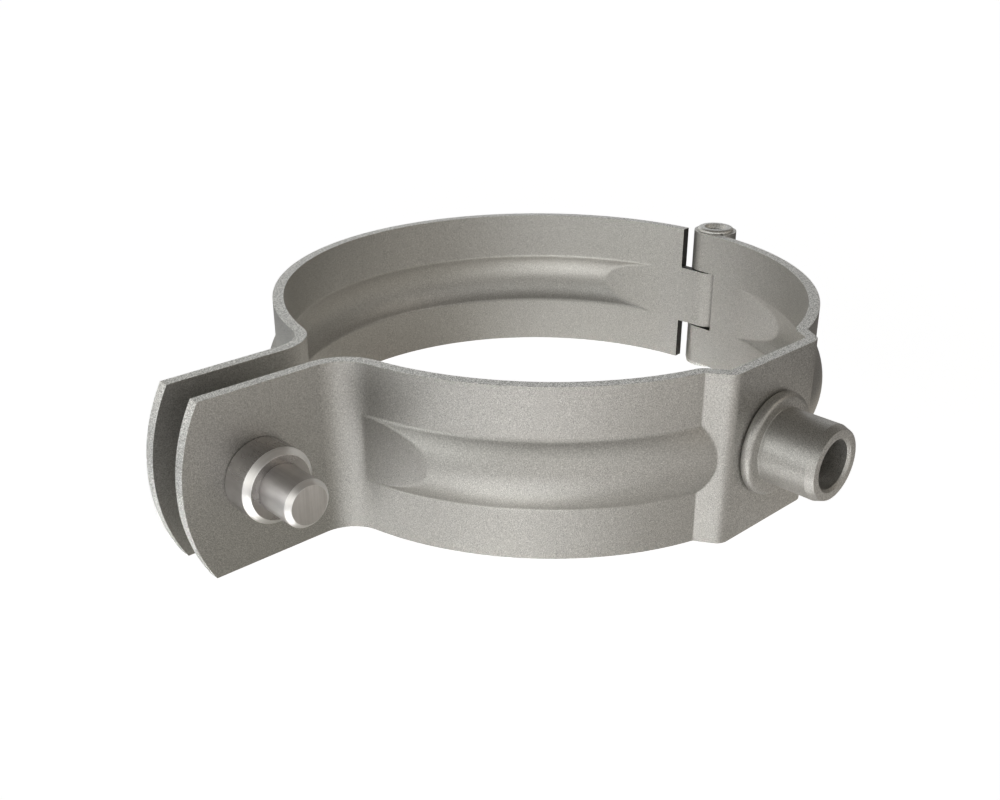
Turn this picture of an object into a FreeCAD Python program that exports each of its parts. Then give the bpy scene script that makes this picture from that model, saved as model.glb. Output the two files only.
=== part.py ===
# Two-part hinged steel bracket that holds a downpipe of 100 mm on an M10 stud.
# Two folded strips meet at a hinge and at two ears, which a screw draws together.
# Millimetres. Z runs along the pipe, with the origin on its axis at the middle of the strip's width.
# The ears point along -X, the hinge lies at +X, and the socket for the stud points along -Y.

import FreeCAD, Part
import os
from math import acos, atan2, cos, degrees, pi, radians, sin, sqrt, tan

# Strip that both halves are folded from
strip_thickness = 2.0
strip_width = 30.0
seat_radius = 49.0

# Ears
ear_gap = 7.0
ear_length = 30.0
ear_tip_radius = 30.0
ear_bend_radius = 6.5
ear_tip_to_screw = 13.2

# Flat pad under the socket, pressed out of the front strip; its flanks lean from the socket's line
pad_rise = 2.0
pad_width = 23.0
pad_flank_angle = 33.0
pad_fold_radius = 0.5

# Stiffening bead along the middle of each strip, with a flat ramp at both ends
bead_height = 2.0
bead_width = 12.0
bead_edge_radius = 2.0
bead_blend_sink = 0.03
ear_ramp_angle = 10.0
ear_ramp_step = 0.2
ear_ramp_tail_angle = 3.0
hinge_ramp_angle = 11.8

# Hinge knuckles, rolled from the ends of the strips
tongue_width = 12.4
tongue_side_gap = 0.3
knuckle_round_gap = 0.35
strip_end_gap = 1.3
roll_seam_gap = 0.4

# Hollow rivet that is the hinge pin: a flat head below, a rolled head above with a round mouth
pin_radius = 2.5
pin_running_gap = 0.05
pin_wall = 0.6
pin_mouth_rounding = 0.4
rolled_head_overhang = 1.4
rolled_head_height = 0.75
rolled_head_rounding = 0.7
flat_head_overhang = 1.9
flat_head_height = 0.9
flat_head_rounding = 0.3

# Socket with an M10 thread, riveted into the pad
socket_bore_radius = 4.2
socket_mouth_chamfer = 0.45
socket_tube_wall = 2.3
socket_tube_length = 10.0
socket_nose_inset = 0.5
socket_nose_length = 1.4
socket_collar_overhang = 2.4
socket_collar_thickness = 2.0
socket_collar_rounding = 0.95
socket_spigot_wall = 2.6
socket_rivet_overhang = 1.4
socket_rivet_height = 0.9

# Round nut, pressed into the front ear
nut_radius = 6.3
nut_height = 6.0
nut_chamfer = 1.0
nut_shank_radius = 5.25

# Hexagon screw M8 x 25
screw_radius = 3.95
screw_thread_gap = 0.05
screw_length = 25.0
screw_tip_inset = 0.8
screw_tip_length = 0.8
head_sides = 6
head_across_flats = 13.0
head_height = 5.3
head_face_radius = 5.8
head_face_height = 0.4
head_corner_angle = 30.0
head_seat_gap = 0.5
ear_hole_gap = 1.05

# Worked out from the sizes above
half_thickness = strip_thickness / 2
half_width = strip_width / 2
outer_radius = seat_radius + strip_thickness
middle_radius = seat_radius + half_thickness
ear_middle = ear_gap / 2 + half_thickness
ear_face = ear_gap / 2 + strip_thickness
ear_reach = outer_radius + ear_length
screw_x = -(ear_reach - ear_tip_to_screw)
pad_face = outer_radius + pad_rise
pad_inside = pad_face - strip_thickness
knuckle_bore = pin_radius + pin_running_gap
knuckle_middle = knuckle_bore + half_thickness
knuckle_radius = knuckle_bore + strip_thickness
hinge_x = seat_radius + knuckle_radius
bead_arc_radius = ((bead_width / 2) ** 2 + bead_height ** 2) / (2 * bead_height)
bead_arc_centre = outer_radius + bead_height - bead_arc_radius
tube_radius = socket_bore_radius + socket_tube_wall
spigot_radius = socket_bore_radius + socket_spigot_wall
socket_collar_face = pad_face + socket_collar_thickness
socket_end = socket_collar_face + socket_tube_length
head_seat = ear_face + head_seat_gap
beyond = 2 * ear_reach

PIPE_AXIS = FreeCAD.Vector(0, 0, 1)
SCREW_AXIS = FreeCAD.Vector(0, 1, 0)


def point(x, y, z=0.0):
    return FreeCAD.Vector(x, y, z)


def polar(radius, angle, centre=(0.0, 0.0)):
    """Point at an angle in degrees round a centre."""
    turn = radians(angle)
    return (centre[0] + radius * cos(turn), centre[1] + radius * sin(turn))


def line(start, end):
    return Part.LineSegment(start, end).toShape()


def arc(start, middle, end):
    return Part.Arc(start, middle, end).toShape()


def face_within(edges):
    return Part.Face(Part.Wire(Part.__sortEdges__(edges)))


def run_edge(run, shift):
    """Edge of one run of a path, shifted to the left of its direction."""
    if run[0] == "line":
        start, end = point(*run[1]), point(*run[2])
        left = PIPE_AXIS.cross(end - start).normalize() * shift
        return line(start + left, end + left)
    centre, radius, start, end = run[1:]
    if end > start:
        radius = radius - shift
    else:
        radius = radius + shift
    return arc(*[point(*polar(radius, angle, centre)) for angle in (start, (start + end) / 2, end)])


def strip(path, low, high):
    """Solid strip of the sheet's thickness that follows a smooth path in plan."""
    left = [run_edge(run, half_thickness) for run in path]
    right = [run_edge(run, -half_thickness) for run in path]
    start_cap = line(left[0].firstVertex(True).Point, right[0].firstVertex(True).Point)
    end_cap = line(left[-1].lastVertex(True).Point, right[-1].lastVertex(True).Point)
    section = face_within(left + right + [start_cap, end_cap])
    section.translate(PIPE_AXIS * low)
    return section.extrude(PIPE_AXIS * (high - low))


def ear_runs():
    """Ear and its bend, from the tip to where the bend meets the ring at the returned angle."""
    bend_middle = ear_bend_radius + half_thickness
    centre_y = -(ear_middle + bend_middle)
    centre_x = -sqrt((middle_radius + bend_middle) ** 2 - centre_y ** 2)
    meets = degrees(atan2(centre_y, centre_x))
    ear = ("line", (-ear_reach, -ear_middle), (centre_x, -ear_middle))
    bend = ("arc", (centre_x, centre_y), bend_middle, 90.0, meets + 180.0)
    return [ear, bend], meets


def pad_corner():
    """Half the width of the pad's middle line, up to its sharp corner."""
    turn = radians(90.0 - pad_flank_angle)
    return pad_width / 2 - half_thickness * tan(turn / 2)


def pad_half():
    """Corner, flank and foot of the pad on its +X side, as runs away from its middle."""
    fold = pad_fold_radius + half_thickness
    setback = fold * tan(radians(90.0 - pad_flank_angle) / 2)
    along = (sin(radians(pad_flank_angle)), cos(radians(pad_flank_angle)))
    level = -(pad_face - half_thickness)
    corner_centre = (pad_corner() - setback, level + fold)
    corner = ("arc", corner_centre, fold, -90.0, -pad_flank_angle)
    flank_start = (pad_corner() + setback * along[0], level + setback * along[1])
    shifted = (flank_start[0] + fold * along[1], flank_start[1] - fold * along[0])
    reach = shifted[0] * along[0] + shifted[1] * along[1]
    missing = shifted[0] ** 2 + shifted[1] ** 2 - (middle_radius + fold) ** 2
    travel = -reach - sqrt(reach ** 2 - missing)
    foot_centre = (shifted[0] + travel * along[0], shifted[1] + travel * along[1])
    flank_end = (flank_start[0] + travel * along[0], flank_start[1] + travel * along[1])
    meets = degrees(atan2(foot_centre[1], foot_centre[0]))
    flank = ("line", flank_start, flank_end)
    foot = ("arc", foot_centre, fold, 180.0 - pad_flank_angle, meets + 180.0)
    return [corner, flank, foot], meets


def mirrored_back(runs):
    """The same runs on the -X side, in the other order and direction."""
    mirrored = []
    for run in reversed(runs):
        if run[0] == "line":
            (x0, y0), (x1, y1) = run[1:]
            mirrored.append(("line", (-x1, y1), (-x0, y0)))
        else:
            (x, y), radius, start, end = run[1:]
            mirrored.append(("arc", (-x, y), radius, 180.0 - end, 180.0 - start))
    return mirrored


def half_path(with_pad, ring_end, with_roll):
    """Middle line of the half on the -Y side, from the ear's tip to the hinge."""
    path, angle = ear_runs()
    if with_pad:
        pad_runs, pad_meets = pad_half()
        path.append(("arc", (0.0, 0.0), middle_radius, angle, -180.0 - pad_meets))
        path.extend(mirrored_back(pad_runs))
        face_end = pad_runs[0][1][0]
        level = -(pad_face - half_thickness)
        path.append(("line", (-face_end, level), (face_end, level)))
        path.extend(pad_runs)
        angle = pad_meets
    path.append(("arc", (0.0, 0.0), middle_radius, angle, ring_end))
    if with_roll:
        path.append(("arc", (hinge_x, 0.0), knuckle_middle, 180.0, roll_end_angle()))
    return path


def roll_end_angle():
    """Angle round the pin at which the roll's outer edge stops short of the strip."""
    stop = outer_radius + roll_seam_gap
    share = (stop ** 2 - hinge_x ** 2 - knuckle_radius ** 2) / (2 * hinge_x * knuckle_radius)
    return -degrees(acos(share))


def ring_end_angle(gap):
    """Angle at which the strip's outer corner clears the other half's knuckle by a gap."""
    clear = knuckle_radius + gap
    return -degrees(acos((outer_radius ** 2 + hinge_x ** 2 - clear ** 2) / (2 * outer_radius * hinge_x)))


def bead_section(shift, depth):
    """Section of the bead's outer face, or its inner face one thickness in, closed at a depth."""
    arc_radius = bead_arc_radius - shift
    edge_radius = bead_edge_radius + shift
    edge_r = outer_radius + bead_edge_radius - bead_blend_sink
    edge_z = sqrt((bead_arc_radius + bead_edge_radius) ** 2 - (edge_r - bead_arc_centre) ** 2)
    touch = degrees(atan2(edge_z, edge_r - bead_arc_centre))
    crown = [polar(arc_radius, angle, (bead_arc_centre, 0.0)) for angle in (-touch, 0.0, touch)]
    edge_angles = (180.0 + touch, 180.0 + touch / 2, 180.0)
    upper = [polar(edge_radius, angle, (edge_r, edge_z)) for angle in edge_angles]
    lower = [(r, -z) for r, z in upper]
    root = outer_radius - shift - depth
    edges = [arc(*[point(r, 0.0, z) for r, z in ends]) for ends in (crown, upper, lower)]
    corners = [point(upper[2][0], 0.0, edge_z), point(root, 0.0, edge_z)]
    corners += [point(root, 0.0, -edge_z), point(lower[2][0], 0.0, -edge_z)]
    edges += [line(start, end) for start, end in zip(corners, corners[1:])]
    return face_within(edges)


def half_space(angle, offset):
    """Everything on the axis side of an upright plane that faces the angle at an offset."""
    block = Part.makeBox(beyond, 2 * beyond, 2 * beyond, point(offset - beyond, -beyond, -beyond))
    block.rotate(point(0, 0), PIPE_AXIS, angle)
    return block


def bead_body(shift, depth):
    """Bead of the -Y half, turned round the pipe axis and run out in a flat ramp at both ends."""
    ear_side = -180.0 + ear_ramp_angle
    hinge_side = -hinge_ramp_angle
    start = ear_side - ear_ramp_tail_angle
    body = bead_section(shift, depth)
    body.rotate(point(0, 0), PIPE_AXIS, start)
    body = body.revolve(point(0, 0), PIPE_AXIS, hinge_side - start)
    body = body.common(half_space(ear_side, outer_radius - shift + ear_ramp_step))
    return body.common(half_space(hinge_side, outer_radius - shift - bead_blend_sink))


def pad_hollow():
    """Space behind the pad, out to the middle of its flanks, where the bead has no body."""
    level = -(pad_face - half_thickness)
    inside = -(seat_radius - strip_thickness)
    reach = pad_corner() + (inside - level) * tan(radians(pad_flank_angle))
    corners = [point(-pad_corner(), level), point(pad_corner(), level)]
    corners += [point(reach, inside), point(-reach, inside)]
    face = Part.Face(Part.makePolygon(corners + corners[:1]))
    face.translate(PIPE_AXIS * -half_width)
    return face.extrude(PIPE_AXIS * strip_width)


def ear_tip_waste():
    """What the round end of the ears leaves off a square end."""
    start = -(ear_reach - ear_tip_radius)
    block = Part.makeBox(beyond, 2 * beyond, 2 * beyond, point(start - beyond, -beyond, -beyond))
    return block.cut(bar_across(ear_tip_radius, -beyond, 2 * beyond, start))


def half_band(with_pad, outer_knuckles):
    """One folded half on the -Y side, with two outer knuckles or one in the middle."""
    if outer_knuckles:
        seam = tongue_width / 2 + tongue_side_gap
        middle_path = half_path(with_pad, ring_end_angle(knuckle_round_gap), False)
        edge_path = half_path(with_pad, 0.0, True)
    else:
        seam = tongue_width / 2
        middle_path = half_path(with_pad, 0.0, True)
        edge_path = half_path(with_pad, ring_end_angle(strip_end_gap), False)
    band = strip(middle_path, -seam, seam)
    band = band.fuse([strip(edge_path, seam, half_width), strip(edge_path, -half_width, -seam)])
    ridge = bead_body(0.0, half_thickness)
    if with_pad:
        ridge = ridge.cut(pad_hollow())
    band = band.fuse(ridge)
    band = band.cut(bead_body(strip_thickness, strip_thickness))
    return band.cut(ear_tip_waste()).removeSplitter()


def bar_across(radius, start, length, x=0.0):
    """Round bar along +Y at the height of the origin."""
    return Part.makeCylinder(radius, length, point(x, start), SCREW_AXIS)


def turned(profile, axis, x=0.0):
    """Solid turned about an axis through (x, 0, 0), from the corners of its section in order.

    A corner is its radius, its place along the axis and, where it is rounded, its rounding.
    """
    corners = [point(corner[0], 0.0) + axis * corner[1] for corner in profile]
    starts, ends, edges = [], [], []
    for index, here in enumerate(corners):
        back = (corners[index - 1] - here).normalize()
        onward = (corners[(index + 1) % len(corners)] - here).normalize()
        rounding = profile[index][2] if len(profile[index]) > 2 else 0.0
        half_angle = back.getAngle(onward) / 2
        starts.append(here + back * (rounding / tan(half_angle)))
        ends.append(here + onward * (rounding / tan(half_angle)))
        if rounding:
            inward = (back + onward).normalize()
            edges.append(arc(starts[-1], here + inward * (rounding / sin(half_angle) - rounding), ends[-1]))
    edges += [line(ends[index - 1], starts[index]) for index in range(len(corners))]
    body = face_within(edges).revolve(point(0, 0), axis, 360)
    body.translate(point(x, 0))
    return body


def make_socket_band():
    """Front half: ear with the nut, pad with the socket, and the two outer knuckles."""
    band = half_band(True, True)
    band = band.cut(bar_across(nut_shank_radius, -beyond, beyond, screw_x))
    return band.cut(bar_across(spigot_radius, -beyond, beyond))


def make_plain_band():
    """Back half: plain ear with a clearance hole, and the knuckle in the middle."""
    band = half_band(False, False)
    band = band.mirror(point(0, 0), SCREW_AXIS)
    return band.cut(bar_across(screw_radius + ear_hole_gap, 0.0, beyond, screw_x))


def make_hinge_pin():
    """Hollow rivet through the three knuckles, with its heads on their ends."""
    bore = pin_radius - pin_wall
    rolled_head = pin_radius + rolled_head_overhang
    flat_head = pin_radius + flat_head_overhang
    top = half_width + rolled_head_height
    bottom = -(half_width + flat_head_height)
    return turned([
        (bore, bottom),
        (flat_head, bottom, flat_head_rounding),
        (flat_head, -half_width),
        (pin_radius, -half_width),
        (pin_radius, half_width),
        (rolled_head, half_width),
        (rolled_head, top, rolled_head_rounding),
        (bore, top, pin_mouth_rounding),
    ], PIPE_AXIS, hinge_x)


def make_threaded_socket():
    """Turned socket: threaded tube, collar on the pad, spigot through it and rivet head behind."""
    mouth = socket_bore_radius + socket_mouth_chamfer
    collar = tube_radius + socket_collar_overhang
    rivet_end = -pad_inside + socket_rivet_height
    return turned([
        (socket_bore_radius, -socket_end + socket_mouth_chamfer),
        (mouth, -socket_end),
        (tube_radius - socket_nose_inset, -socket_end),
        (tube_radius, -socket_end + socket_nose_length),
        (tube_radius, -socket_collar_face),
        (collar, -socket_collar_face, socket_collar_rounding),
        (collar, -pad_face),
        (spigot_radius, -pad_face),
        (spigot_radius, -pad_inside),
        (spigot_radius + socket_rivet_overhang, -pad_inside),
        (spigot_radius, rivet_end),
        (socket_bore_radius, rivet_end),
    ], SCREW_AXIS)


def make_press_nut():
    """Round nut on the front ear, with its shank pressed through the ear."""
    face = -(ear_face + nut_height)
    bore = screw_radius + screw_thread_gap
    return turned([
        (bore, face),
        (nut_radius - nut_chamfer, face),
        (nut_radius, face + nut_chamfer),
        (nut_radius, -ear_face),
        (nut_shank_radius, -ear_face),
        (nut_shank_radius, -ear_gap / 2),
        (bore, -ear_gap / 2),
    ], SCREW_AXIS, screw_x)


def make_clamp_screw():
    """Hexagon screw, put in from the plain ear, with its end standing out of the nut."""
    tip = head_seat - screw_length
    shank = turned([
        (0.0, tip),
        (screw_radius - screw_tip_inset, tip),
        (screw_radius, tip + screw_tip_length),
        (screw_radius, head_seat),
        (head_face_radius, head_seat),
        (head_face_radius, head_seat + head_height / 2),
        (0.0, head_seat + head_height / 2),
    ], SCREW_AXIS, screw_x)
    flat = head_across_flats / 2
    corner = flat / cos(pi / head_sides)
    block_base = head_seat + head_face_height
    top = head_seat + head_height
    corners = []
    for index in range(head_sides + 1):
        x, z = polar(corner, 360.0 / head_sides * index, (screw_x, 0.0))
        corners.append(point(x, block_base, z))
    block = Part.Face(Part.makePolygon(corners)).extrude(SCREW_AXIS * (top - block_base))
    dome = turned([
        (0.0, head_seat),
        (corner, head_seat),
        (corner, top - (corner - flat) * tan(radians(head_corner_angle))),
        (flat, top),
        (0.0, top),
    ], SCREW_AXIS, screw_x)
    return shank.fuse(block.common(dome)).removeSplitter()


PIECES = {
    "socket_band": make_socket_band,
    "plain_band": make_plain_band,
    "hinge_pin": make_hinge_pin,
    "threaded_socket": make_threaded_socket,
    "press_nut": make_press_nut,
    "clamp_screw": make_clamp_screw,
}

os.makedirs("parts", exist_ok=True)
for name, make in PIECES.items():
    solid = make()
    solid.exportStep(f"parts/{name}.step")
    print(name, "valid", solid.isValid(), "solids", len(solid.Solids), "volume", round(solid.Volume, 1))
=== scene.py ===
import math

import bmesh
import bpy
import numpy as np
from mathutils import Matrix, Vector


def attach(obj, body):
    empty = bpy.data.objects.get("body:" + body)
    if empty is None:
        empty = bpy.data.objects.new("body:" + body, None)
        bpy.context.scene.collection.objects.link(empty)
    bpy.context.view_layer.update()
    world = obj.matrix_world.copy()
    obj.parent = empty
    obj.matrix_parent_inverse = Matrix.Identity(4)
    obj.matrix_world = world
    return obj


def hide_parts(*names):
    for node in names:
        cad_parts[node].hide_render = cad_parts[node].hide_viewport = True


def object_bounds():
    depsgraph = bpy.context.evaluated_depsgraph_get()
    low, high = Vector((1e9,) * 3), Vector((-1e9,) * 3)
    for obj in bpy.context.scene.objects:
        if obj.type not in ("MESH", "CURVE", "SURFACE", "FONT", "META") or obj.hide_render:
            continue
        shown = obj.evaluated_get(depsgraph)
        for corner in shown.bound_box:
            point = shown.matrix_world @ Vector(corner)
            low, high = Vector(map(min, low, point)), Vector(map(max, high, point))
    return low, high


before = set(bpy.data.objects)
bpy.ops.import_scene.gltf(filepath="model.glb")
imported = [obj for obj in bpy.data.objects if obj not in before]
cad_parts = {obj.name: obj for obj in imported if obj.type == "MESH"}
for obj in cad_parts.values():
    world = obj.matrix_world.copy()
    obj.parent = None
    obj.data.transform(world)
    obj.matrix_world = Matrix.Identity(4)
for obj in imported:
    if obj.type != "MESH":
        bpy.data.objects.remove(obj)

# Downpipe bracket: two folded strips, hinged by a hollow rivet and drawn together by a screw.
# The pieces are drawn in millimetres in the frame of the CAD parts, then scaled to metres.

cad_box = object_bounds()

MM = 0.001
TOLERANCE = 1e-6

# Strip
THICKNESS = 2.0
HALF = THICKNESS / 2
HALF_WIDTH = 15.0
SEAT_RADIUS = 49.0
OUTER_RADIUS = SEAT_RADIUS + THICKNESS
MIDDLE_RADIUS = SEAT_RADIUS + HALF
EDGE_ROUNDING = 0.04

# Folds of more degrees than these are cut edges, or shade as sharp
CUT_ANGLE = 50.0
SHARP_ANGLE = 50.0
SHARP_ANGLE_AT_CUTS = 20.0

# Ears
EAR_MIDDLE = 4.5
EAR_FACE = EAR_MIDDLE + HALF
EAR_INSIDE = EAR_MIDDLE - HALF
EAR_LENGTH = 30.0
EAR_TIP_RADIUS = 30.0
EAR_BEND_RADIUS = 7.5
SCREW_X = -67.8

# Pad under the socket
PAD_FACE = 53.0
PAD_INSIDE = PAD_FACE - THICKNESS
PAD_WIDTH = 23.0
PAD_FLANK_ANGLE = 33.0
PAD_FOLD_RADIUS = 1.5

# Bead and its ramps
BEAD_ARC_RADIUS = 10.0
BEAD_ARC_CENTRE = 43.0
BEAD_EDGE_RADIUS = 1.5
BEAD_EDGE_SINK = 0.03
BEAD_BORDER = 4.9
BEAD_MIDDLE_ANGLE = -90.0
EAR_RAMP_ANGLE = -170.0
EAR_RAMP_START = -173.0
EAR_RAMP_R = 51.2
HINGE_RAMP_ANGLE = -11.8
HINGE_RAMP_R = 50.97
RAMP_SOFTNESS = 0.04
FOLD_SOFTNESS = 0.12
FOLD_GROWTH = 0.15

# Hinge
HINGE_X = 53.55
KNUCKLE_MIDDLE = 3.55
ROLL_END_ANGLE = -120.36
FRONT_SLOT = 6.5
FRONT_SLOT_ANGLE = -4.586
BACK_TONGUE = 6.2
BACK_END_ANGLE = -5.777

# Fineness of the meshes: counts of steps, rows and segments, and degrees along the ring
EAR_STEPS = 15
BEND_STEPS = 28
PAD_STEPS = (8, 12, 8)
PAD_FACE_STEPS = 22
ROLL_STEPS = 64
CROWN_ROWS = 14
BORDER_ROWS = 9
OUTER_ROWS = 9
RING_STEP = 1.0
FINE_RING_STEP = 0.35
LEAST_RING_STEP = 0.2
FINE_UP_TO = -151.0
FINE_AT_HINGE = (-30.0, -9.0)
HOLE_SEGMENTS = 96
PIN_SEGMENTS = 96
TURNED_SEGMENTS = 128
SCREW_SEGMENTS = 144
THREAD_STEPS = 14
ROUNDING_STEPS = 6


def soft_max(a, b, width):
    """The larger of two heights, with the crease between them rounded over a small height."""
    share = np.clip(0.5 + 0.5 * (a - b) / width, 0.0, 1.0)
    return b + (a - b) * share + width * share * (1.0 - share)


def soft_min(a, b, width):
    return -soft_max(-a, -b, width)


def turns(segments):
    return np.linspace(0.0, 2 * math.pi, segments, endpoint=False)


# Plan of a half: runs along the middle of the sheet, from the ear's tip to the end of the roll

def ear_bend():
    centre_y = -(EAR_MIDDLE + EAR_BEND_RADIUS)
    centre_x = -math.sqrt((MIDDLE_RADIUS + EAR_BEND_RADIUS) ** 2 - centre_y ** 2)
    meets = math.degrees(math.atan2(centre_y, centre_x))
    return ("arc", (centre_x, centre_y), EAR_BEND_RADIUS, 90.0, meets + 180.0), meets


def pad_runs():
    """Corner, flank and foot of the pad on its +X side, and where the foot meets the ring."""
    turn = math.radians(90.0 - PAD_FLANK_ANGLE) / 2
    edge = PAD_WIDTH / 2 - HALF * math.tan(turn)
    setback = PAD_FOLD_RADIUS * math.tan(turn)
    along = (math.sin(math.radians(PAD_FLANK_ANGLE)), math.cos(math.radians(PAD_FLANK_ANGLE)))
    level = -(PAD_FACE - HALF)
    corner_centre = (edge - setback, level + PAD_FOLD_RADIUS)
    start = (edge + setback * along[0], level + setback * along[1])
    shifted = (start[0] + PAD_FOLD_RADIUS * along[1], start[1] - PAD_FOLD_RADIUS * along[0])
    reach = shifted[0] * along[0] + shifted[1] * along[1]
    missing = shifted[0] ** 2 + shifted[1] ** 2 - (MIDDLE_RADIUS + PAD_FOLD_RADIUS) ** 2
    travel = -reach - math.sqrt(reach ** 2 - missing)
    foot_centre = (shifted[0] + travel * along[0], shifted[1] + travel * along[1])
    end = (start[0] + travel * along[0], start[1] + travel * along[1])
    meets = math.degrees(math.atan2(foot_centre[1], foot_centre[0]))
    corner = ("arc", corner_centre, PAD_FOLD_RADIUS, -90.0, -PAD_FLANK_ANGLE)
    foot = ("arc", foot_centre, PAD_FOLD_RADIUS, 180.0 - PAD_FLANK_ANGLE, meets + 180.0)
    return [corner, ("line", start, end), foot], corner_centre[0], level, meets


def run_points(run, count):
    """Middle points along a run and the unit direction to the outer side of the sheet at each."""
    share = np.linspace(0.0, 1.0, count + 1)[:, None]
    if run[0] == "line":
        start, end = np.array(run[1]), np.array(run[2])
        ahead = (end - start) / np.linalg.norm(end - start)
        side = np.repeat([[ahead[1], -ahead[0]]], count + 1, axis=0)
        return start + (end - start) * share, side
    centre, radius, start, end = run[1:]
    turn = np.radians(start + (end - start) * share[:, 0])
    side = np.stack([np.cos(turn), np.sin(turn)], axis=1)
    middle = np.array(centre) + radius * side
    return middle, side if end > start else -side


def mirrored_back(points, side):
    flip = np.array([-1.0, 1.0])
    return (points * flip)[::-1], (side * flip)[::-1]


def ring_angles(start, end):
    """Angles along the ring, close together where the bead runs out."""
    angles = [start]
    while angles[-1] < end:
        here = angles[-1]
        fine = here < FINE_UP_TO or FINE_AT_HINGE[0] < here < FINE_AT_HINGE[1]
        angles.append(min(here + (FINE_RING_STEP if fine else RING_STEP), end))
    if len(angles) > 2 and angles[-1] - angles[-2] < LEAST_RING_STEP:
        angles.pop(-2)
    return np.array(angles)


def ring_run(start, end):
    turn = np.radians(ring_angles(start, end))
    side = np.stack([np.cos(turn), np.sin(turn)], axis=1)
    return side * MIDDLE_RADIUS, side


def half_plan(with_pad, slot_angle):
    """Plan points, outward directions and the kind of each column, from the bend to the roll's end."""
    bend, ear_meets = ear_bend()
    pieces = [("bend", *run_points(bend, BEND_STEPS))]
    if with_pad:
        runs, face_end, level, pad_meets = pad_runs()
        flanks = [run_points(run, count) for run, count in zip(runs, PAD_STEPS)]
        pieces.append(("ring", *ring_run(ear_meets, -180.0 - pad_meets)))
        pieces += [("pad", *mirrored_back(*part)) for part in reversed(flanks)]
        face = ("line", (-face_end, level), (face_end, level))
        pieces.append(("pad", *run_points(face, PAD_FACE_STEPS)))
        pieces += [("pad", *part) for part in flanks]
        pieces.append(("ring", *ring_run(pad_meets, slot_angle)))
    else:
        pieces.append(("ring", *ring_run(ear_meets, slot_angle)))
    pieces.append(("end", *ring_run(slot_angle, 0.0)))
    roll = ("arc", (HINGE_X, 0.0), KNUCKLE_MIDDLE, 180.0, ROLL_END_ANGLE)
    pieces.append(("roll", *run_points(roll, ROLL_STEPS)))
    middle, side, kinds = [], [], []
    for kind, points, sides in pieces:
        first = 1 if middle else 0
        middle.extend(points[first:])
        side.extend(sides[first:])
        kinds.extend([kind] * (len(points) - first))
    return np.array(middle), np.array(side), kinds


def bead_radius(z, inward):
    """Radius of the bead's face at a height: its outer face, or its inner one a thickness in."""
    arc_radius = BEAD_ARC_RADIUS - inward
    edge_centre = OUTER_RADIUS - inward + BEAD_EDGE_RADIUS - BEAD_EDGE_SINK
    edge_z = math.sqrt((arc_radius + BEAD_EDGE_RADIUS) ** 2 - (edge_centre - BEAD_ARC_CENTRE) ** 2)
    touch = arc_radius * edge_z / (arc_radius + BEAD_EDGE_RADIUS)
    high = np.abs(z)
    crown = BEAD_ARC_CENTRE + np.sqrt(np.maximum(arc_radius ** 2 - high ** 2, 0.0))
    fillet = edge_centre - np.sqrt(np.maximum(BEAD_EDGE_RADIUS ** 2 - (edge_z - high) ** 2, 0.0))
    radius = np.where(high < touch, crown, np.where(high < edge_z, fillet, 0.0))
    return np.maximum(radius, OUTER_RADIUS - inward)


def beaded(points, z, kinds, inward):
    """Face points lifted on to the bead, which ends in a flat ramp near the ear and near the hinge."""
    radius = np.linalg.norm(points, axis=2)
    angle = np.degrees(np.arctan2(points[..., 1], points[..., 0]))
    bead = bead_radius(z, inward)
    ear_ramp = (EAR_RAMP_R - inward) / np.cos(np.radians(angle - EAR_RAMP_ANGLE))
    hinge_ramp = (HINGE_RAMP_R - inward) / np.cos(np.radians(angle - HINGE_RAMP_ANGLE))
    ramp = np.where(angle < BEAD_MIDDLE_ANGLE, ear_ramp, hinge_ramp)
    lifted = soft_min(bead, ramp, RAMP_SOFTNESS)
    kinds = np.array(kinds)[:, None]
    on_ring = np.isin(kinds, ("bend", "ring", "pad"))
    present = on_ring & (angle > EAR_RAMP_START) & (angle < HINGE_RAMP_ANGLE)
    folded = np.isin(kinds, ("bend", "pad"))
    grown = np.clip((bead - (OUTER_RADIUS - inward)) / FOLD_GROWTH, 0.0, 1.0)
    rounded = radius + (soft_max(radius, lifted, FOLD_SOFTNESS) - radius) * grown
    target = np.where(folded, rounded, np.maximum(radius, lifted))
    scale = np.where(present, target / radius, 1.0)
    return points * scale[..., None]


def row_heights(slot):
    """Heights of the rows across the strip, close together over the bead, with a row at the slot."""
    crown = np.linspace(0.0, BEAD_BORDER, CROWN_ROWS)
    border = np.linspace(BEAD_BORDER, slot, BORDER_ROWS)[1:]
    outer = np.linspace(slot, HALF_WIDTH, OUTER_ROWS)[1:]
    upper = np.concatenate([crown, border, outer])
    return np.concatenate([-upper[:0:-1], upper])


def half_faces(with_pad, slot, slot_angle):
    """Outer and inner face points of a half on the -Y side, and the kind of each column."""
    z = row_heights(slot)
    middle, side, kinds = half_plan(with_pad, slot_angle)
    tip = -(OUTER_RADIUS + EAR_LENGTH - EAR_TIP_RADIUS) - np.sqrt(EAR_TIP_RADIUS ** 2 - z ** 2)
    along = np.linspace(0.0, 1.0, EAR_STEPS + 1)[:-1, None]
    ear_x = tip[None, :] + (middle[0][0] - tip[None, :]) * along
    faces = []
    for inward in (0.0, THICKNESS):
        shift = HALF - inward
        points = middle + side * shift
        grid = np.repeat(points[:, None, :], len(z), axis=1)
        grid = beaded(grid, z[None, :], kinds, inward)
        ear = np.stack([ear_x, np.full_like(ear_x, -EAR_MIDDLE - shift)], axis=2)
        grid = np.concatenate([ear, grid])
        height = np.repeat(z[None, :], len(grid), axis=0)
        faces.append(np.concatenate([grid, height[..., None]], axis=2))
    return faces, ["ear"] * len(ear_x) + kinds, z


# Finishes of a strip: its faces, its outer cut sides, and those of the hinge's window, which are painted
# nearly black as painted shade of the narrow gaps
FACE, CUT_SIDE, WINDOW_SHADE_SIDE = 0, 1, 2


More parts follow.
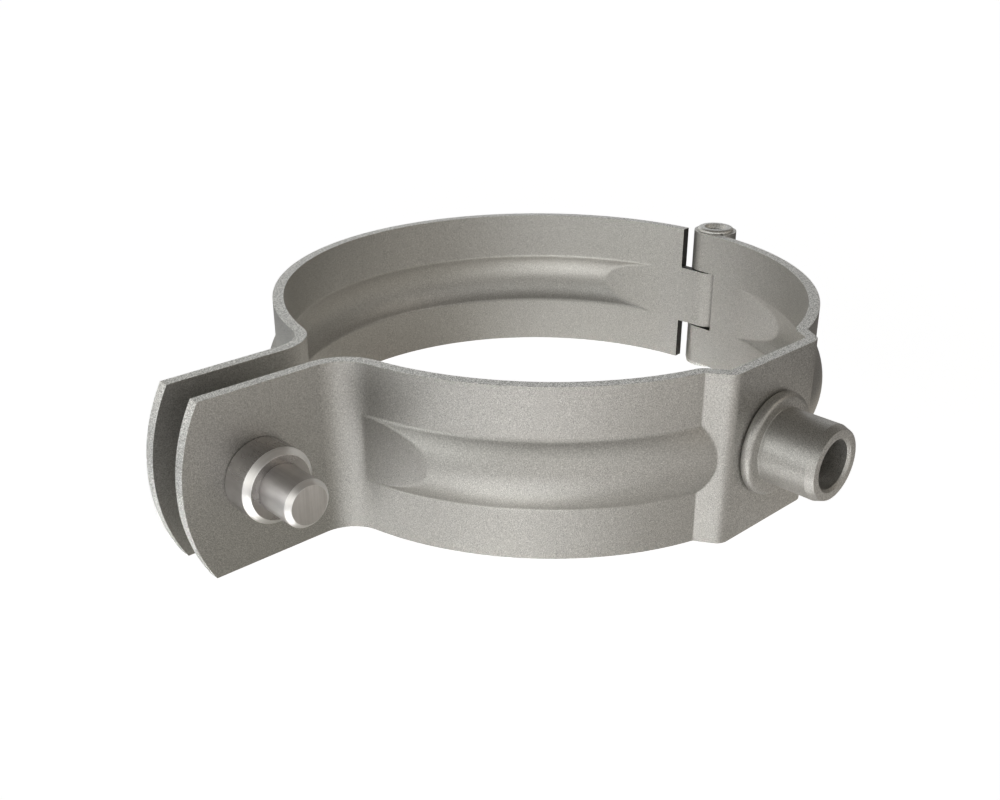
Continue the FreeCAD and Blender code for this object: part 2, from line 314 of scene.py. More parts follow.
def sheet_mesh(faces, kinds, z, slot, outer_knuckles):
    """Closed sheet between two face grids, without the cells that the hinge leaves free."""
    columns, rows = len(kinds), len(z)
    inner_rows = (np.abs(z[:-1] + z[1:]) / 2) < slot
    kept = np.ones((columns - 1, rows - 1), bool)
    for column in range(columns - 1):
        if kinds[column + 1] in ("end", "roll"):
            kept[column] = ~inner_rows if outer_knuckles else inner_rows
    count = columns * rows
    points = np.concatenate([face.reshape(-1, 3) for face in faces])
    quads, walls, wall_kinds = [], [], []

    def at(column, row):
        return column * rows + row

    def inside(column, row):
        return 0 <= column < columns - 1 and 0 <= row < rows - 1

    for column, row in zip(*np.nonzero(kept)):
        a, b = at(column, row), at(column + 1, row)
        c, d = at(column + 1, row + 1), at(column, row + 1)
        quads.append((a, b, c, d))
        quads.append((d + count, c + count, b + count, a + count))
        sides = (((column, row - 1), a, b), ((column + 1, row), b, c),
                 ((column, row + 1), c, d), ((column - 1, row), d, a))
        # Cut sides beside the hinge's open cells get the painted shade of the window
        for neighbour, start, end in sides:
            if not (inside(*neighbour) and kept[neighbour]):
                walls.append((end, start, start + count, end + count))
                wall_kinds.append(WINDOW_SHADE_SIDE if inside(*neighbour) else CUT_SIDE)
    return points, quads + walls, [FACE] * len(quads) + wall_kinds


def mesh_from(name, points, faces, materials):
    """Mesh of the corners that the faces use."""
    mesh = bpy.data.meshes.new(name)
    mesh.from_pydata([tuple(map(float, p)) for p in points], [], [tuple(map(int, f)) for f in faces])
    mesh.polygons.foreach_set("material_index", materials)
    work = bmesh.new()
    work.from_mesh(mesh)
    bmesh.ops.delete(work, geom=[v for v in work.verts if not v.link_faces], context="VERTS")
    work.to_mesh(mesh)
    work.free()
    return mesh


def round_cut_edges(mesh):
    """Takes the sharpness off the edges between the sheet's faces and its cut sides."""
    work = bmesh.new()
    work.from_mesh(mesh)
    limit = math.radians(CUT_ANGLE)
    cut = [e for e in work.edges if len(e.link_faces) == 2 and e.calc_face_angle() > limit]
    bmesh.ops.bevel(work, geom=cut, offset=EDGE_ROUNDING, segments=2, profile=0.5,
                    affect="EDGES", clamp_overlap=False, material=CUT_SIDE)
    work.to_mesh(mesh)
    work.free()


def shade_smooth(mesh):
    """Smooth shading, broken at the edges of cut sides and at strong folds."""
    work = bmesh.new()
    work.from_mesh(mesh)
    for face in work.faces:
        face.smooth = True
    for edge in work.edges:
        beside_cut = any(face.material_index for face in edge.link_faces)
        limit = SHARP_ANGLE_AT_CUTS if beside_cut else SHARP_ANGLE
        edge.smooth = len(edge.link_faces) == 2 and edge.calc_face_angle() < math.radians(limit)
    work.to_mesh(mesh)
    work.free()


def place(name, mesh, body, node, materials):
    """Piece in metres that rides on a body and stands for a CAD node."""
    mesh.transform(Matrix.Scale(MM, 4))
    for material in materials:
        mesh.materials.append(material)
    shade_smooth(mesh)
    piece = bpy.data.objects.new(name, mesh)
    bpy.context.scene.collection.objects.link(piece)
    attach(piece, body)
    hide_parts(node)
    return piece


def cut_round_hole(mesh, radius, x, low, high):
    """Hole along Y through a sheet."""
    count = HOLE_SEGMENTS
    ring = [(x + radius * math.cos(t), radius * math.sin(t)) for t in turns(count)]
    points = [(a, low, b) for a, b in ring] + [(a, high, b) for a, b in ring]
    faces = [(i, (i + 1) % count, (i + 1) % count + count, i + count) for i in range(count)]
    faces += [tuple(range(count))[::-1], tuple(range(count, 2 * count))]
    tool_mesh = mesh_from("hole_tool", points, faces, [CUT_SIDE] * len(faces))
    tool = bpy.data.objects.new("hole_tool", tool_mesh)
    host = bpy.data.objects.new("host", mesh)
    for item in (tool, host):
        bpy.context.scene.collection.objects.link(item)
    boolean = host.modifiers.new("hole", "BOOLEAN")
    boolean.operation = "DIFFERENCE"
    boolean.solver = "EXACT"
    boolean.object = tool
    bpy.context.view_layer.update()
    evaluated = host.evaluated_get(bpy.context.evaluated_depsgraph_get())
    result = bpy.data.meshes.new_from_object(evaluated)
    bpy.data.objects.remove(host)
    bpy.data.objects.remove(tool)
    bpy.data.meshes.remove(tool_mesh)
    return result


def make_band(name, with_pad, outer_knuckles, holes):
    slot, slot_angle = BACK_TONGUE, BACK_END_ANGLE
    if outer_knuckles:
        slot, slot_angle = FRONT_SLOT, FRONT_SLOT_ANGLE
    faces, kinds, z = half_faces(with_pad, slot, slot_angle)
    if not with_pad:
        faces = [face * np.array([1.0, -1.0, 1.0]) for face in faces][::-1]
    mesh = mesh_from(name, *sheet_mesh(faces, kinds, z, slot, outer_knuckles))
    round_cut_edges(mesh)
    for radius, x, low, high in holes:
        mesh = cut_round_hole(mesh, radius, x, low, high)
    mesh.name = name
    return mesh


# Turned pieces

def rounded_profile(corners):
    """Corners (radius, place, rounding) of a turned section, with arcs at the rounded ones."""
    points = []
    for index, corner in enumerate(corners):
        here = np.array(corner[:2])
        rounding = corner[2] if len(corner) > 2 else 0.0
        if not rounding:
            points.append(here)
            continue
        before = np.array(corners[index - 1][:2])
        after = np.array(corners[(index + 1) % len(corners)][:2])
        back = (before - here) / np.linalg.norm(before - here)
        onward = (after - here) / np.linalg.norm(after - here)
        half_angle = math.acos(np.clip(back @ onward, -1, 1)) / 2
        inward = (back + onward) / np.linalg.norm(back + onward)
        centre = here + inward * rounding / math.sin(half_angle)
        start = here + back * rounding / math.tan(half_angle) - centre
        end = here + onward * rounding / math.tan(half_angle) - centre
        swing = math.pi - 2 * half_angle
        for step in range(ROUNDING_STEPS + 1):
            share = step / ROUNDING_STEPS
            first = math.sin((1 - share) * swing) / math.sin(swing)
            second = math.sin(share * swing) / math.sin(swing)
            points.append(centre + start * first + end * second)
    return points


def turned_rings(profile, axis, x, segments=TURNED_SEGMENTS, radius_at=None):
    """Rings of points of a body turned about an axis through (x, 0, 0).

    The profile's points are (radius, place along the axis). A point on the axis gives a ring of one.
    Where radius_at is given, it changes a radius at (radius, place, turn).
    """
    rings = []
    for radius, along in profile:
        if radius < TOLERANCE:
            rings.append([spun(0.0, along, 0.0, axis, x)])
            continue
        ring = []
        for turn in turns(segments):
            here = radius_at(radius, along, turn) if radius_at else radius
            ring.append(spun(here, along, turn, axis, x))
        rings.append(ring)
    return rings


def skinned(name, rings, closed):
    """Mesh through rings of points; a ring of one point closes an end, and closed joins last to first."""
    starts, points = [], []
    for ring in rings:
        starts.append(len(points))
        points.extend(ring)
    segments = max(len(ring) for ring in rings)
    numbered = [[start + (i % len(ring)) for i in range(segments)] for start, ring in zip(starts, rings)]
    pairs = list(zip(numbered, numbered[1:]))
    if closed:
        pairs.append((numbered[-1], numbered[0]))
    faces = []
    for lower, upper in pairs:
        for i in range(segments):
            j = (i + 1) % segments
            corners = list(dict.fromkeys((lower[i], lower[j], upper[j], upper[i])))
            if len(corners) > 2:
                faces.append(corners)
    mesh = mesh_from(name, points, faces, [0] * len(faces))
    work = bmesh.new()
    work.from_mesh(mesh)
    bmesh.ops.recalc_face_normals(work, faces=work.faces)
    work.to_mesh(mesh)
    work.free()
    return mesh


def spun(radius, along, turn, axis, x):
    across, up = radius * math.cos(turn), radius * math.sin(turn)
    if axis == "z":
        return (x + across, up, along)
    return (x + across, along, up)


# Share of the pitch that is flat at a thread's root, and again at its crest
THREAD_FLAT = 0.12


def thread_wave(along, turn, pitch):
    """Share of the thread's depth, from 0 at its root to 1 at its crest."""
    phase = (along / pitch + turn / (2 * math.pi)) % 1.0
    slope = 1.0 - abs(2.0 * phase - 1.0)
    return min(max((slope - THREAD_FLAT) / (1.0 - 2.0 * THREAD_FLAT), 0.0), 1.0)


def fade(along, start, end, length):
    """One between two places, fading to zero over a length inside them."""
    return min(max(min(along - start, end - along) / length, 0.0), 1.0)


def filled_profile(profile, low, high, step):
    """The profile with extra points on the straight run along the axis between two places."""
    filled = [profile[0]]
    for start, end in zip(profile, profile[1:]):
        straight = abs(start[0] - end[0]) < TOLERANCE
        if straight and min(start[1], end[1]) <= low and max(start[1], end[1]) >= high:
            heading = 1 if end[1] > start[1] else -1
            places = np.arange(low, high + step / 2, step)[::heading]
            filled += [(start[0], float(p)) for p in places]
        filled.append(end)
    return filled


PIN_BORE = 1.9
PIN_MOUTH = 2.4
PIN_RADIUS = 2.5
PIN_FOOT_RADIUS = 4.4
PIN_FOOT = -15.9
PIN_HEAD_RADIUS = 3.9
PIN_TOP = 15.75
PIN_MOUTH_FLOOR = 14.9


def make_pin():
    profile = rounded_profile([
        (PIN_BORE, PIN_FOOT, 0.2),
        (PIN_FOOT_RADIUS, PIN_FOOT, 0.3),
        (PIN_FOOT_RADIUS, -HALF_WIDTH, 0.12),
        (PIN_RADIUS, -HALF_WIDTH),
        (PIN_RADIUS, HALF_WIDTH),
        (PIN_HEAD_RADIUS, HALF_WIDTH, 0.12),
        (PIN_HEAD_RADIUS, PIN_TOP, 0.62),
        (PIN_MOUTH, PIN_TOP, 0.12),
        (PIN_BORE, PIN_MOUTH_FLOOR, 0.3),
    ])
    return skinned("pin", turned_rings(profile, "z", HINGE_X, PIN_SEGMENTS), True)


SOCKET_BORE = 4.2
SOCKET_BORE_CHAMFER = -64.55
SOCKET_MOUTH = -65.0
SOCKET_MOUTH_RADII = (4.65, 6.0)
SOCKET_NOSE = -63.6
SOCKET_RADIUS = 6.5
SOCKET_COLLAR = -55.0
SOCKET_COLLAR_RADIUS = 8.9
SOCKET_SPIGOT_RADIUS = 6.8
SOCKET_RIVET_RADIUS = 8.2
SOCKET_END = -50.1
SOCKET_PITCH = 1.5
SOCKET_THREAD_DEPTH = 0.75
SOCKET_THREAD = (-61.0, -50.5)
SOCKET_THREAD_RUNOUT = 1.2


def make_socket():
    profile = rounded_profile([
        (SOCKET_BORE, SOCKET_BORE_CHAMFER, 0.15),
        (SOCKET_MOUTH_RADII[0], SOCKET_MOUTH, 0.06),
        (SOCKET_MOUTH_RADII[1], SOCKET_MOUTH, 0.12),
        (SOCKET_RADIUS, SOCKET_NOSE, 0.25),
        (SOCKET_RADIUS, SOCKET_COLLAR, 0.15),
        (SOCKET_COLLAR_RADIUS, SOCKET_COLLAR, 0.95),
        (SOCKET_COLLAR_RADIUS, -PAD_FACE, 0.75),
        (SOCKET_SPIGOT_RADIUS, -PAD_FACE),
        (SOCKET_SPIGOT_RADIUS, -PAD_INSIDE),
        (SOCKET_RIVET_RADIUS, -PAD_INSIDE, 0.12),
        (SOCKET_SPIGOT_RADIUS, SOCKET_END, 0.3),
        (SOCKET_BORE, SOCKET_END, 0.2),
    ])
    profile = filled_profile(profile + profile[:1], *SOCKET_THREAD, SOCKET_PITCH / THREAD_STEPS)[:-1]

    def cut(radius, along, turn):
        if abs(radius - SOCKET_BORE) > TOLERANCE:
            return radius
        depth = SOCKET_THREAD_DEPTH * fade(along, *SOCKET_THREAD, SOCKET_THREAD_RUNOUT)
        return radius + depth * (1.0 - thread_wave(along, turn, SOCKET_PITCH))

    return skinned("socket", turned_rings(profile, "y", 0.0, radius_at=cut), True)


NUT_BORE = 3.97
NUT_END = -11.5
NUT_END_RADIUS = 5.3
NUT_CHAMFER = -10.5
NUT_RADIUS = 6.3
NUT_SHANK_RADIUS = 5.25

# The chamfers' finish, a near-white copy of the turned steel as a painted highlight, comes second, and
# they are the faces past this Y that slope by these amounts
HIGHLIGHTED_CHAMFER = 1
CHAMFERS_BEFORE = -10.0
CHAMFER_SLOPES = (0.45, 0.93)


def with_chamfer_highlights(mesh):
    """The mesh, with the second finish, a painted highlight, on the chamfers at its -Y end."""
    for face in mesh.polygons:
        sloped = CHAMFER_SLOPES[0] < -face.normal.y < CHAMFER_SLOPES[1]
        if sloped and face.center.y < CHAMFERS_BEFORE:
            face.material_index = HIGHLIGHTED_CHAMFER
    return mesh


def make_nut():
    profile = rounded_profile([
        (NUT_BORE, NUT_END, 0.02),
        (NUT_END_RADIUS, NUT_END, 0.12),
        (NUT_RADIUS, NUT_CHAMFER, 0.2),
        (NUT_RADIUS, -EAR_FACE, 0.28),
        (NUT_SHANK_RADIUS, -EAR_FACE),
        (NUT_SHANK_RADIUS, -EAR_INSIDE, 0.1),
        (NUT_BORE, -EAR_INSIDE, 0.1),
    ])
    return with_chamfer_highlights(skinned("nut", turned_rings(profile, "y", SCREW_X), True))


SCREW_RADIUS = 3.95
SCREW_END = -19.0
SCREW_END_RADIUS = 3.15
SCREW_CHAMFER = -18.2
SCREW_PITCH = 1.25
SCREW_THREAD_DEPTH = 0.6
SCREW_THREAD = (-8.5, 5.2)
SCREW_THREAD_RUNOUT = 1.0
HEAD_SIDES = 6
HEAD_SEAT = 6.0
HEAD_TOP = 11.3
HEAD_FLAT = 6.5
HEAD_WASHER = 0.4
HEAD_WASHER_RADIUS = 5.8
HEAD_BEVEL_ANGLE = 30.0
HEAD_BEVEL_START = 0.1
HEAD_CORNER_ROUNDING = 0.18

# Least cosine towards a side, which puts the sides on the far half out of reach
LEAST_COSINE = 1e-3


def hexagon_radius(turn):
    """Distance from the middle to the hexagon's side at a turn, with its corners a little rounded."""
    middles = [math.radians(360.0 / HEAD_SIDES * (side + 0.5)) for side in range(HEAD_SIDES)]
    reaches = [HEAD_FLAT / max(math.cos(turn - middle), LEAST_COSINE) for middle in middles]
    return float(soft_min(*sorted(reaches)[:2], HEAD_CORNER_ROUNDING))


def head_rings():
    """Hexagon head on its washer face, with its corners bevelled at the top."""
    base, shoulder, rim = [], [], []
    for turn in turns(SCREW_SEGMENTS):
        radius = hexagon_radius(turn)
        drop = (radius - HEAD_FLAT + HEAD_BEVEL_START) * math.tan(math.radians(HEAD_BEVEL_ANGLE))
        base.append(spun(radius, HEAD_SEAT + HEAD_WASHER, turn, "y", SCREW_X))
        shoulder.append(spun(radius, HEAD_TOP - drop, turn, "y", SCREW_X))
        rim.append(spun(HEAD_FLAT - HEAD_BEVEL_START, HEAD_TOP, turn, "y", SCREW_X))
    return [base, shoulder, rim, [spun(0.0, HEAD_TOP, 0.0, "y", SCREW_X)]]


def make_screw():
    profile = rounded_profile([
        (0.0, SCREW_END),
        (SCREW_END_RADIUS, SCREW_END, 0.1),
        (SCREW_RADIUS, SCREW_CHAMFER, 0.2),
        (SCREW_RADIUS, HEAD_SEAT, 0.1),
        (HEAD_WASHER_RADIUS, HEAD_SEAT, 0.08),
        (HEAD_WASHER_RADIUS, HEAD_SEAT + HEAD_WASHER),
    ])
    profile = filled_profile(profile, *SCREW_THREAD, SCREW_PITCH / THREAD_STEPS)

    def cut(radius, along, turn):
        if abs(radius - SCREW_RADIUS) > TOLERANCE:
            return radius
        depth = SCREW_THREAD_DEPTH * fade(along, *SCREW_THREAD, SCREW_THREAD_RUNOUT)
        return radius - depth * (1.0 - thread_wave(along, turn, SCREW_PITCH))

    rings = turned_rings(profile, "y", SCREW_X, SCREW_SEGMENTS, cut)
    return with_chamfer_highlights(skinned("screw", rings + head_rings(), False))


# Finishes: most of a noise's values lie in its middle span

MIDDLE_SPAN = (0.3, 0.7)
CLOUD_SCALE = 60.0
CLOUD_SHADES = (0.975, 1.025)
PATCH_FINENESS = 0.4
PATCH_STRENGTH = 0.2
ZINC_METALLIC = 0.9
ZINC_ROUGHNESS_SWING = (-0.02, 0.02)
STREAK_SHADES = (0.86, 1.1)
WEAR_SCALE = 300.0
WEAR_SHADES = (0.94, 1.05)
TURNED_ROUGHNESS_SWING = (-0.03, 0.05)
TURNED_LINE_HEIGHT = 0.000004
TURNED_LINE_STRENGTH = 0.6


class Finish:
    """Node tree of one material, with short ways to add and join nodes."""

    def __init__(self, name):
        self.material = bpy.data.materials.new(name)
        self.material.use_nodes = True
        self.tree = self.material.node_tree
        self.shader = self.tree.nodes["Principled BSDF"]
        self.place = self.add("ShaderNodeTexCoord").outputs["Object"]

    def add(self, kind, **inputs):
        node = self.tree.nodes.new(kind)
        for key, value in inputs.items():
            node.inputs[key].default_value = value
        return node

    def join(self, source, target):
        self.tree.links.new(source, target)

    def stretched(self, scale):
        mapping = self.add("ShaderNodeMapping")
        mapping.inputs["Scale"].default_value = scale
        self.join(self.place, mapping.inputs["Vector"])
        return mapping.outputs["Vector"]

    def noise(self, scale, detail, roughness, vector=None):
        node = self.add("ShaderNodeTexNoise", Scale=scale, Detail=detail, Roughness=roughness)
        self.join(vector or self.place, node.inputs["Vector"])
        return node.outputs["Fac"]

    def spread(self, value, span, results):
        """A span of values stretched over a span of results."""
        node = self.add("ShaderNodeMapRange")
        for key, number in zip(("From Min", "From Max", "To Min", "To Max"), (*span, *results)):
            node.inputs[key].default_value = number
        self.join(value, node.inputs["Value"])
        return node.outputs["Result"]

    def product(self, first, second):
        node = self.add("ShaderNodeMath")
        node.operation = "MULTIPLY"
        self.join(first, node.inputs[0])
        self.join(second, node.inputs[1])
        return node.outputs["Value"]

    def tinted(self, colour, factor):
        """A colour times a factor."""
        node = self.add("ShaderNodeVectorMath")
        node.operation = "SCALE"
        node.inputs[0].default_value = colour
        self.join(factor, node.inputs["Scale"])
        self.join(node.outputs["Vector"], self.shader.inputs["Base Color"])

    def bump(self, height, distance, strength=1.0):
        node = self.add("ShaderNodeBump", Strength=strength, Distance=distance)
        self.join(height, node.inputs["Height"])
        self.join(node.outputs["Normal"], self.shader.inputs["Normal"])


def blasted(name, colour, grain, roughness, crisp=0.25, grain_height=0.00001, fineness=9500.0):
    """Fine-blasted zinc: a close grain in its colour and its surface, and a faint cloudiness."""
    finish = Finish(name)
    fine = finish.noise(fineness, 0.0, 0.5)
    coarse = finish.noise(PATCH_FINENESS * fineness, 2.0, 0.6)
    cloud = finish.noise(CLOUD_SCALE, 3.0, 0.55)
    speckle = finish.spread(fine, (0.5 - crisp, 0.5 + crisp), (1.0 - grain, 1.0 + grain))
    patch_grain = grain * PATCH_STRENGTH
    patches = finish.spread(coarse, MIDDLE_SPAN, (1.0 - patch_grain, 1.0 + patch_grain))
    drift = finish.spread(cloud, MIDDLE_SPAN, CLOUD_SHADES)
    finish.tinted(colour, finish.product(finish.product(speckle, patches), drift))
    finish.shader.inputs["Metallic"].default_value = ZINC_METALLIC
    rough = finish.spread(coarse, MIDDLE_SPAN, [roughness + swing for swing in ZINC_ROUGHNESS_SWING])
    finish.join(rough, finish.shader.inputs["Roughness"])
    finish.bump(fine, grain_height)
    return finish.material


def turned_metal(name, colour, roughness, lines):
    """Bright turned steel: fine turning lines round the piece and faint wear."""
    finish = Finish(name)
    streaks = finish.noise(1.0, 4.0, 0.7, finish.stretched(lines))
    wear = finish.noise(WEAR_SCALE, 3.0, 0.6)
    bright = finish.spread(streaks, MIDDLE_SPAN, STREAK_SHADES)
    worn = finish.spread(wear, MIDDLE_SPAN, WEAR_SHADES)
    finish.tinted(colour, finish.product(bright, worn))
    finish.shader.inputs["Metallic"].default_value = 1.0
    rough = finish.spread(streaks, MIDDLE_SPAN, [roughness + swing for swing in TURNED_ROUGHNESS_SWING])
    finish.join(rough, finish.shader.inputs["Roughness"])
    finish.bump(streaks, TURNED_LINE_HEIGHT, TURNED_LINE_STRENGTH)
    return finish.material


STRIP_COLOUR = (0.517, 0.510, 0.492)
EDGE_COLOUR = (0.74, 0.74, 0.72)
# Nearly black cut sides in the hinge's window: painted shade of the narrow gaps
WINDOW_SHADE_COLOUR = (0.10, 0.098, 0.094)
NUT_COLOUR = (0.46, 0.445, 0.44)
SCREW_COLOUR = (0.66, 0.645, 0.64)
# Near-white copy of the turned steel for the chamfers: a painted highlight
CHAMFER_HIGHLIGHT_COLOUR = (0.97, 0.96, 0.955)


# Studio

CAMERA_PLACE = Vector((-147.02, -144.47, 81.75)) * MM
CAMERA_LOOKS = Vector((0.6251, 0.6666, -0.4061))
LENS = 40.63
SENSOR_WIDTH = 36.0


def make_camera():
    data = bpy.data.cameras.new("camera")
    data.lens = LENS
    data.sensor_width = SENSOR_WIDTH
    data.clip_start = 0.01
    camera = bpy.data.objects.new("camera", data)
    back = -CAMERA_LOOKS.normalized()
    right = Vector((0, 0, 1)).cross(back).normalized()
    up = back.cross(right)
    camera.matrix_world = Matrix((right, up, back)).transposed().to_4x4()
    camera.matrix_world.translation = CAMERA_PLACE
    bpy.context.scene.collection.objects.link(camera)
    bpy.context.scene.camera = camera


FLOOR_REACH = 3.0
FLOOR_GLOW = (0.985, 1.0)
FLOOR_GLOW_REACH = (0.12, 0.5)
FLOOR_COLOUR = (0.3, 0.3, 0.3, 1.0)
NEAR_FLOOR_REACH = (0.075, 0.105)
WORLD_FILL = (0.02, 0.018, 0.016, 1.0)

# What metal sees of the studio, by azimuth in steps of 45 degrees from -180: a pale room with a dark
# side at the front right and a darker ceiling, and a floor that is darker close to the part
SEEN_CEILING = (0.16, 0.15, 0.135, 1.0)
CEILING_REACH = (0.42, 0.70)
SEEN_ROOM = (
    (0.79, 0.80, 0.77), (0.95, 0.93, 0.88), (0.54, 0.53, 0.51), (0.11, 0.10, 0.09),
    (0.29, 0.27, 0.24), (0.98, 0.99, 1.00), (0.98, 0.97, 0.91), (0.73, 0.71, 0.68),
)
SEEN_NEAR_FLOOR = (
    (0.24, 0.23, 0.20), (0.37, 0.35, 0.31), (0.47, 0.45, 0.42), (0.48, 0.44, 0.38),
    (0.52, 0.50, 0.46), (0.44, 0.42, 0.37), (0.32, 0.29, 0.25), (0.98, 0.99, 0.91),
)
SEEN_FAR_FLOOR = (
    (0.37, 0.37, 0.36), (0.65, 0.62, 0.59), (0.70, 0.67, 0.63), (0.09, 0.09, 0.09),
    (0.10, 0.10, 0.10), (0.12, 0.12, 0.12), (0.16, 0.16, 0.16), (0.29, 0.30, 0.31),
)


def linked(tree, kind, operation, *values):
    """Math node whose inputs are numbers or other nodes' outputs."""
    node = tree.nodes.new(kind)
    node.operation = operation
    for socket, value in zip(node.inputs, values):
        if isinstance(value, (int, float, tuple)):
            socket.default_value = value
        else:
            tree.links.new(value, socket)
    return node.outputs["Value"]


def ramp_between(tree, value, reach, glow):
    node = tree.nodes.new("ShaderNodeMapRange")
    node.interpolation_type = "SMOOTHSTEP"
    for name, number in zip(("From Min", "From Max", "To Min", "To Max"), (*reach, *glow)):
        node.inputs[name].default_value = number
    tree.links.new(value, node.inputs["Value"])
    return node.outputs["Result"]


def blend(tree, factor, first, second):
    """Colour between two colours or nodes' outputs."""
    node = tree.nodes.new("ShaderNodeMix")
    node.data_type = "RGBA"
    tree.links.new(factor, node.inputs["Factor"])
    colours = [socket for socket in node.inputs if socket.type == "RGBA"]
    for socket, value in zip(colours, (first, second)):
        if isinstance(value, tuple):
            socket.default_value = value
        else:
            tree.links.new(value, socket)
    return next(socket for socket in node.outputs if socket.type == "RGBA")


def seen_round(tree, direction, colours):
    """Colour by azimuth, from colours at equal steps round the part."""
    split = tree.nodes.new("ShaderNodeSeparateXYZ")
    tree.links.new(direction, split.inputs["Vector"])
    azimuth = linked(tree, "ShaderNodeMath", "ARCTAN2", split.outputs["Y"], split.outputs["X"])
    turn = linked(tree, "ShaderNodeMath", "MULTIPLY_ADD", azimuth, 0.5 / math.pi, 0.5)
    ramp = tree.nodes.new("ShaderNodeValToRGB")
    stops = ramp.color_ramp.elements
    count = len(colours)
    while len(stops) < count + 1:
        stops.new(0.5)
    for index, stop in enumerate(stops):
        stop.position = index / count
        stop.color = (*colours[index % count], 1.0)
    tree.links.new(turn, ramp.inputs["Fac"])
    return ramp.outputs["Color"]


def make_floor():
    """White floor that keeps the part's shadow and lets the lamps below it through."""
    mesh = bpy.data.meshes.new("floor")
    size, level = FLOOR_REACH, cad_box[0][2]
    corners = [(-size, -size, level), (size, -size, level), (size, size, level), (-size, size, level)]
    mesh.from_pydata(corners, [], [(0, 1, 2, 3)])
    floor = bpy.data.objects.new("floor", mesh)
    floor.visible_shadow = False
    bpy.context.scene.collection.objects.link(floor)
    material = bpy.data.materials.new("floor")
    material.use_nodes = True
    tree = material.node_tree
    output = tree.nodes["Material Output"]
    tree.nodes.remove(tree.nodes["Principled BSDF"])
    place_on_floor = tree.nodes.new("ShaderNodeTexCoord").outputs["Object"]
    rays = tree.nodes.new("ShaderNodeLightPath")
    distance = linked(tree, "ShaderNodeVectorMath", "LENGTH", place_on_floor)
    shown = ramp_between(tree, distance, FLOOR_GLOW_REACH, FLOOR_GLOW)
    far = ramp_between(tree, distance, NEAR_FLOOR_REACH, (0.0, 1.0))
    near_seen = seen_round(tree, place_on_floor, SEEN_NEAR_FLOOR)
    far_seen = seen_round(tree, place_on_floor, SEEN_FAR_FLOOR)
    in_metal = blend(tree, far, near_seen, far_seen)
    colour = blend(tree, rays.outputs["Is Glossy Ray"], (1.0, 1.0, 1.0, 1.0), in_metal)
    to_camera = linked(tree, "ShaderNodeMath", "MULTIPLY", rays.outputs["Is Camera Ray"], shown)
    reflected, refracted = rays.outputs["Is Glossy Ray"], rays.outputs["Is Transmission Ray"]
    others = linked(tree, "ShaderNodeMath", "ADD", reflected, refracted)
    strength = linked(tree, "ShaderNodeMath", "ADD", to_camera, others)
    paper = tree.nodes.new("ShaderNodeBsdfDiffuse")
    paper.inputs["Color"].default_value = FLOOR_COLOUR
    glow = tree.nodes.new("ShaderNodeEmission")
    tree.links.new(colour, glow.inputs["Color"])
    tree.links.new(strength, glow.inputs["Strength"])
    sum_shader = tree.nodes.new("ShaderNodeAddShader")
    tree.links.new(paper.outputs["BSDF"], sum_shader.inputs[0])
    tree.links.new(glow.outputs["Emission"], sum_shader.inputs[1])
    tree.links.new(sum_shader.outputs["Shader"], output.inputs["Surface"])
    mesh.materials.append(material)


def make_world():
    """White room for the camera; metal sees it with its dark side; it adds little light of its own."""
    world = bpy.data.worlds.new("world")
    bpy.context.scene.world = world
    world.use_nodes = True
    tree = world.node_tree
    rays = tree.nodes.new("ShaderNodeLightPath")
    direction = tree.nodes.new("ShaderNodeTexCoord").outputs["Generated"]
    seen, refracted = rays.outputs["Is Camera Ray"], rays.outputs["Is Transmission Ray"]
    plain = linked(tree, "ShaderNodeMath", "MAXIMUM", seen, refracted)
    colour = blend(tree, plain, WORLD_FILL, (1.0, 1.0, 1.0, 1.0))
    split = tree.nodes.new("ShaderNodeSeparateXYZ")
    tree.links.new(direction, split.inputs["Vector"])
    high = ramp_between(tree, split.outputs["Z"], CEILING_REACH, (0.0, 1.0))
    in_metal = blend(tree, high, seen_round(tree, direction, SEEN_ROOM), SEEN_CEILING)
    colour = blend(tree, rays.outputs["Is Glossy Ray"], colour, in_metal)
    tree.links.new(colour, tree.nodes["Background"].inputs["Color"])


# Lamps: azimuth and elevation in degrees, distance and size in metres, watts, colour
LAMPS = {
    "low_left": (-180.0, -35.0, 0.9, 0.6, 0.55, (1.0, 1.0, 1.0)),
    "low_camera": (-150.0, -35.0, 0.9, 0.5, 0.62, (1.0, 1.0, 1.0)),
    "low_front": (-120.0, -35.0, 0.9, 0.5, 0.42, (1.0, 1.0, 1.0)),
    "low_far": (120.0, -35.0, 0.9, 0.5, 0.40, (1.0, 1.0, 1.0)),
    "low_back": (150.0, -35.0, 0.9, 0.5, 0.53, (1.0, 1.0, 1.0)),
    "steep": (-150.0, -60.0, 0.9, 0.5, 0.80, (1.0, 1.0, 0.98)),
    "left": (-180.0, 5.0, 0.9, 0.9, 1.20, (1.0, 1.0, 0.97)),
    "back": (150.0, 5.0, 0.9, 0.7, 0.70, (1.0, 1.0, 1.0)),
    "front": (-120.0, 5.0, 0.9, 0.5, 0.34, (1.0, 0.99, 0.95)),
    "right": (-60.0, 20.0, 0.9, 0.6, 0.45, (1.0, 0.9, 0.76)),
}


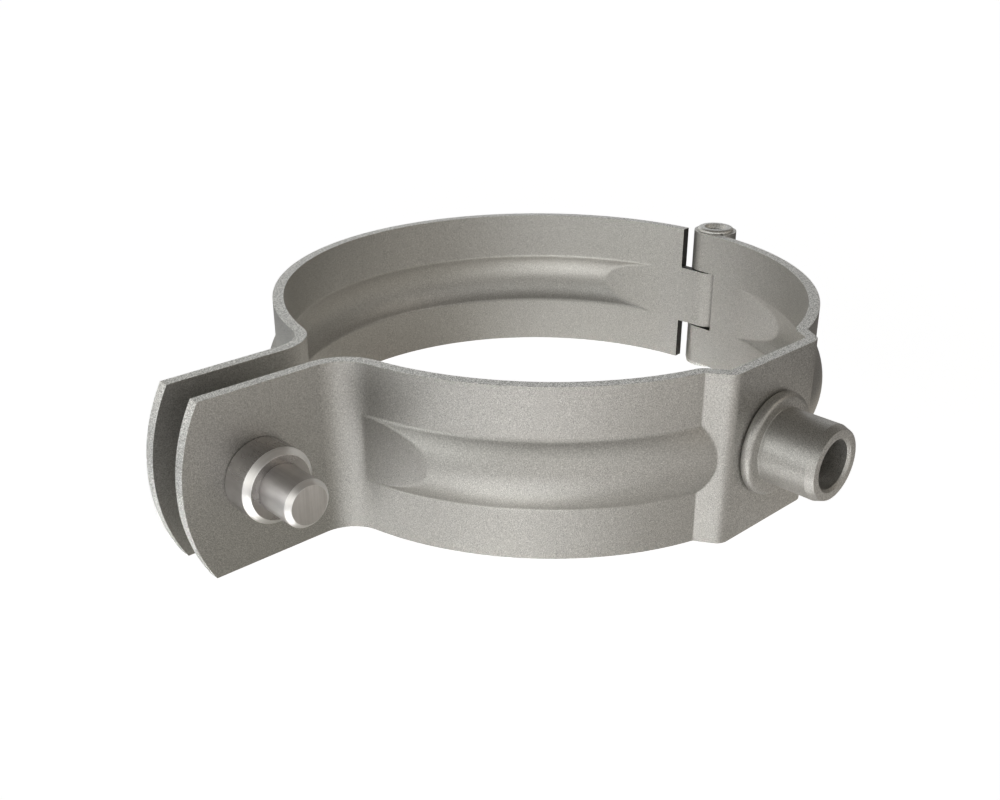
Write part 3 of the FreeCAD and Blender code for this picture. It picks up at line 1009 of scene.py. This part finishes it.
def make_lamps():
    for name, (azimuth, elevation, distance, size, power, colour) in LAMPS.items():
        data = bpy.data.lights.new(name, "AREA")
        data.shape = "DISK"
        data.size = size
        data.energy = power
        data.color = colour
        # The floor hides a lamp below the horizon from scattered rays, so such a lamp is sampled directly
        data.cycles.use_multiple_importance_sampling = elevation > 0
        lamp = bpy.data.objects.new(name, data)
        around, rise = math.radians(azimuth), math.radians(elevation)
        level = math.cos(rise)
        spot = Vector((level * math.cos(around), level * math.sin(around), math.sin(rise))) * distance
        lamp.matrix_world = spot.to_track_quat("Z", "Y").to_matrix().to_4x4()
        lamp.matrix_world.translation = spot
        bpy.context.scene.collection.objects.link(lamp)


strip_face = blasted("strip_face", STRIP_COLOUR, grain=0.40, roughness=0.45)
strip_edge = blasted("strip_edge", EDGE_COLOUR, grain=0.34, roughness=0.5, crisp=0.10,
                     grain_height=0.00002, fineness=6500.0)
# Cut sides of the hinge's window: painted shade
strip_window_shade = blasted("strip_window_shade", WINDOW_SHADE_COLOUR, grain=0.44, roughness=0.5)
strip_finishes = [strip_face, strip_edge, strip_window_shade]
pin_metal = blasted("pin_metal", EDGE_COLOUR, grain=0.34, roughness=0.45, crisp=0.12, fineness=7000.0)
socket_metal = blasted("socket_metal", STRIP_COLOUR, grain=0.40, roughness=0.45)
nut_metal = turned_metal("nut_metal", NUT_COLOUR, 0.28, (300.0, 60.0, 300.0))
screw_metal = turned_metal("screw_metal", SCREW_COLOUR, 0.36, (1500.0, 60.0, 60.0))
# Chamfers of the nut and the screw: painted highlight in near-white turned steel
chamfer_highlight = turned_metal("chamfer_highlight", CHAMFER_HIGHLIGHT_COLOUR, 0.33, (60.0, 900.0, 60.0))

# Holes of the strips: radius, X of the axis, and the span along Y that is cut
FRONT_HOLES = [(NUT_SHANK_RADIUS, SCREW_X, -9.0, 0.0), (SOCKET_SPIGOT_RADIUS, 0.0, -60.0, -45.0)]
BACK_HOLES = [(5.0, SCREW_X, 0.0, 9.0)]

front = make_band("front_strip", True, True, FRONT_HOLES)
place("front_strip", front, "front_half", "socket_band", strip_finishes)
back = make_band("back_strip", False, False, BACK_HOLES)
place("back_strip", back, "back_half", "plain_band", strip_finishes)
place("pin", make_pin(), "front_half", "hinge_pin", [pin_metal])
place("socket", make_socket(), "front_half", "threaded_socket", [socket_metal])
# The second finish of the nut and the screw is the chamfers' painted highlight
place("nut", make_nut(), "front_half", "press_nut", [nut_metal, chamfer_highlight])
place("screw", make_screw(), "screw", "clamp_screw", [screw_metal, chamfer_highlight])

make_camera()
make_floor()
make_world()
make_lamps()
bpy.context.scene.view_settings.view_transform = "Standard"
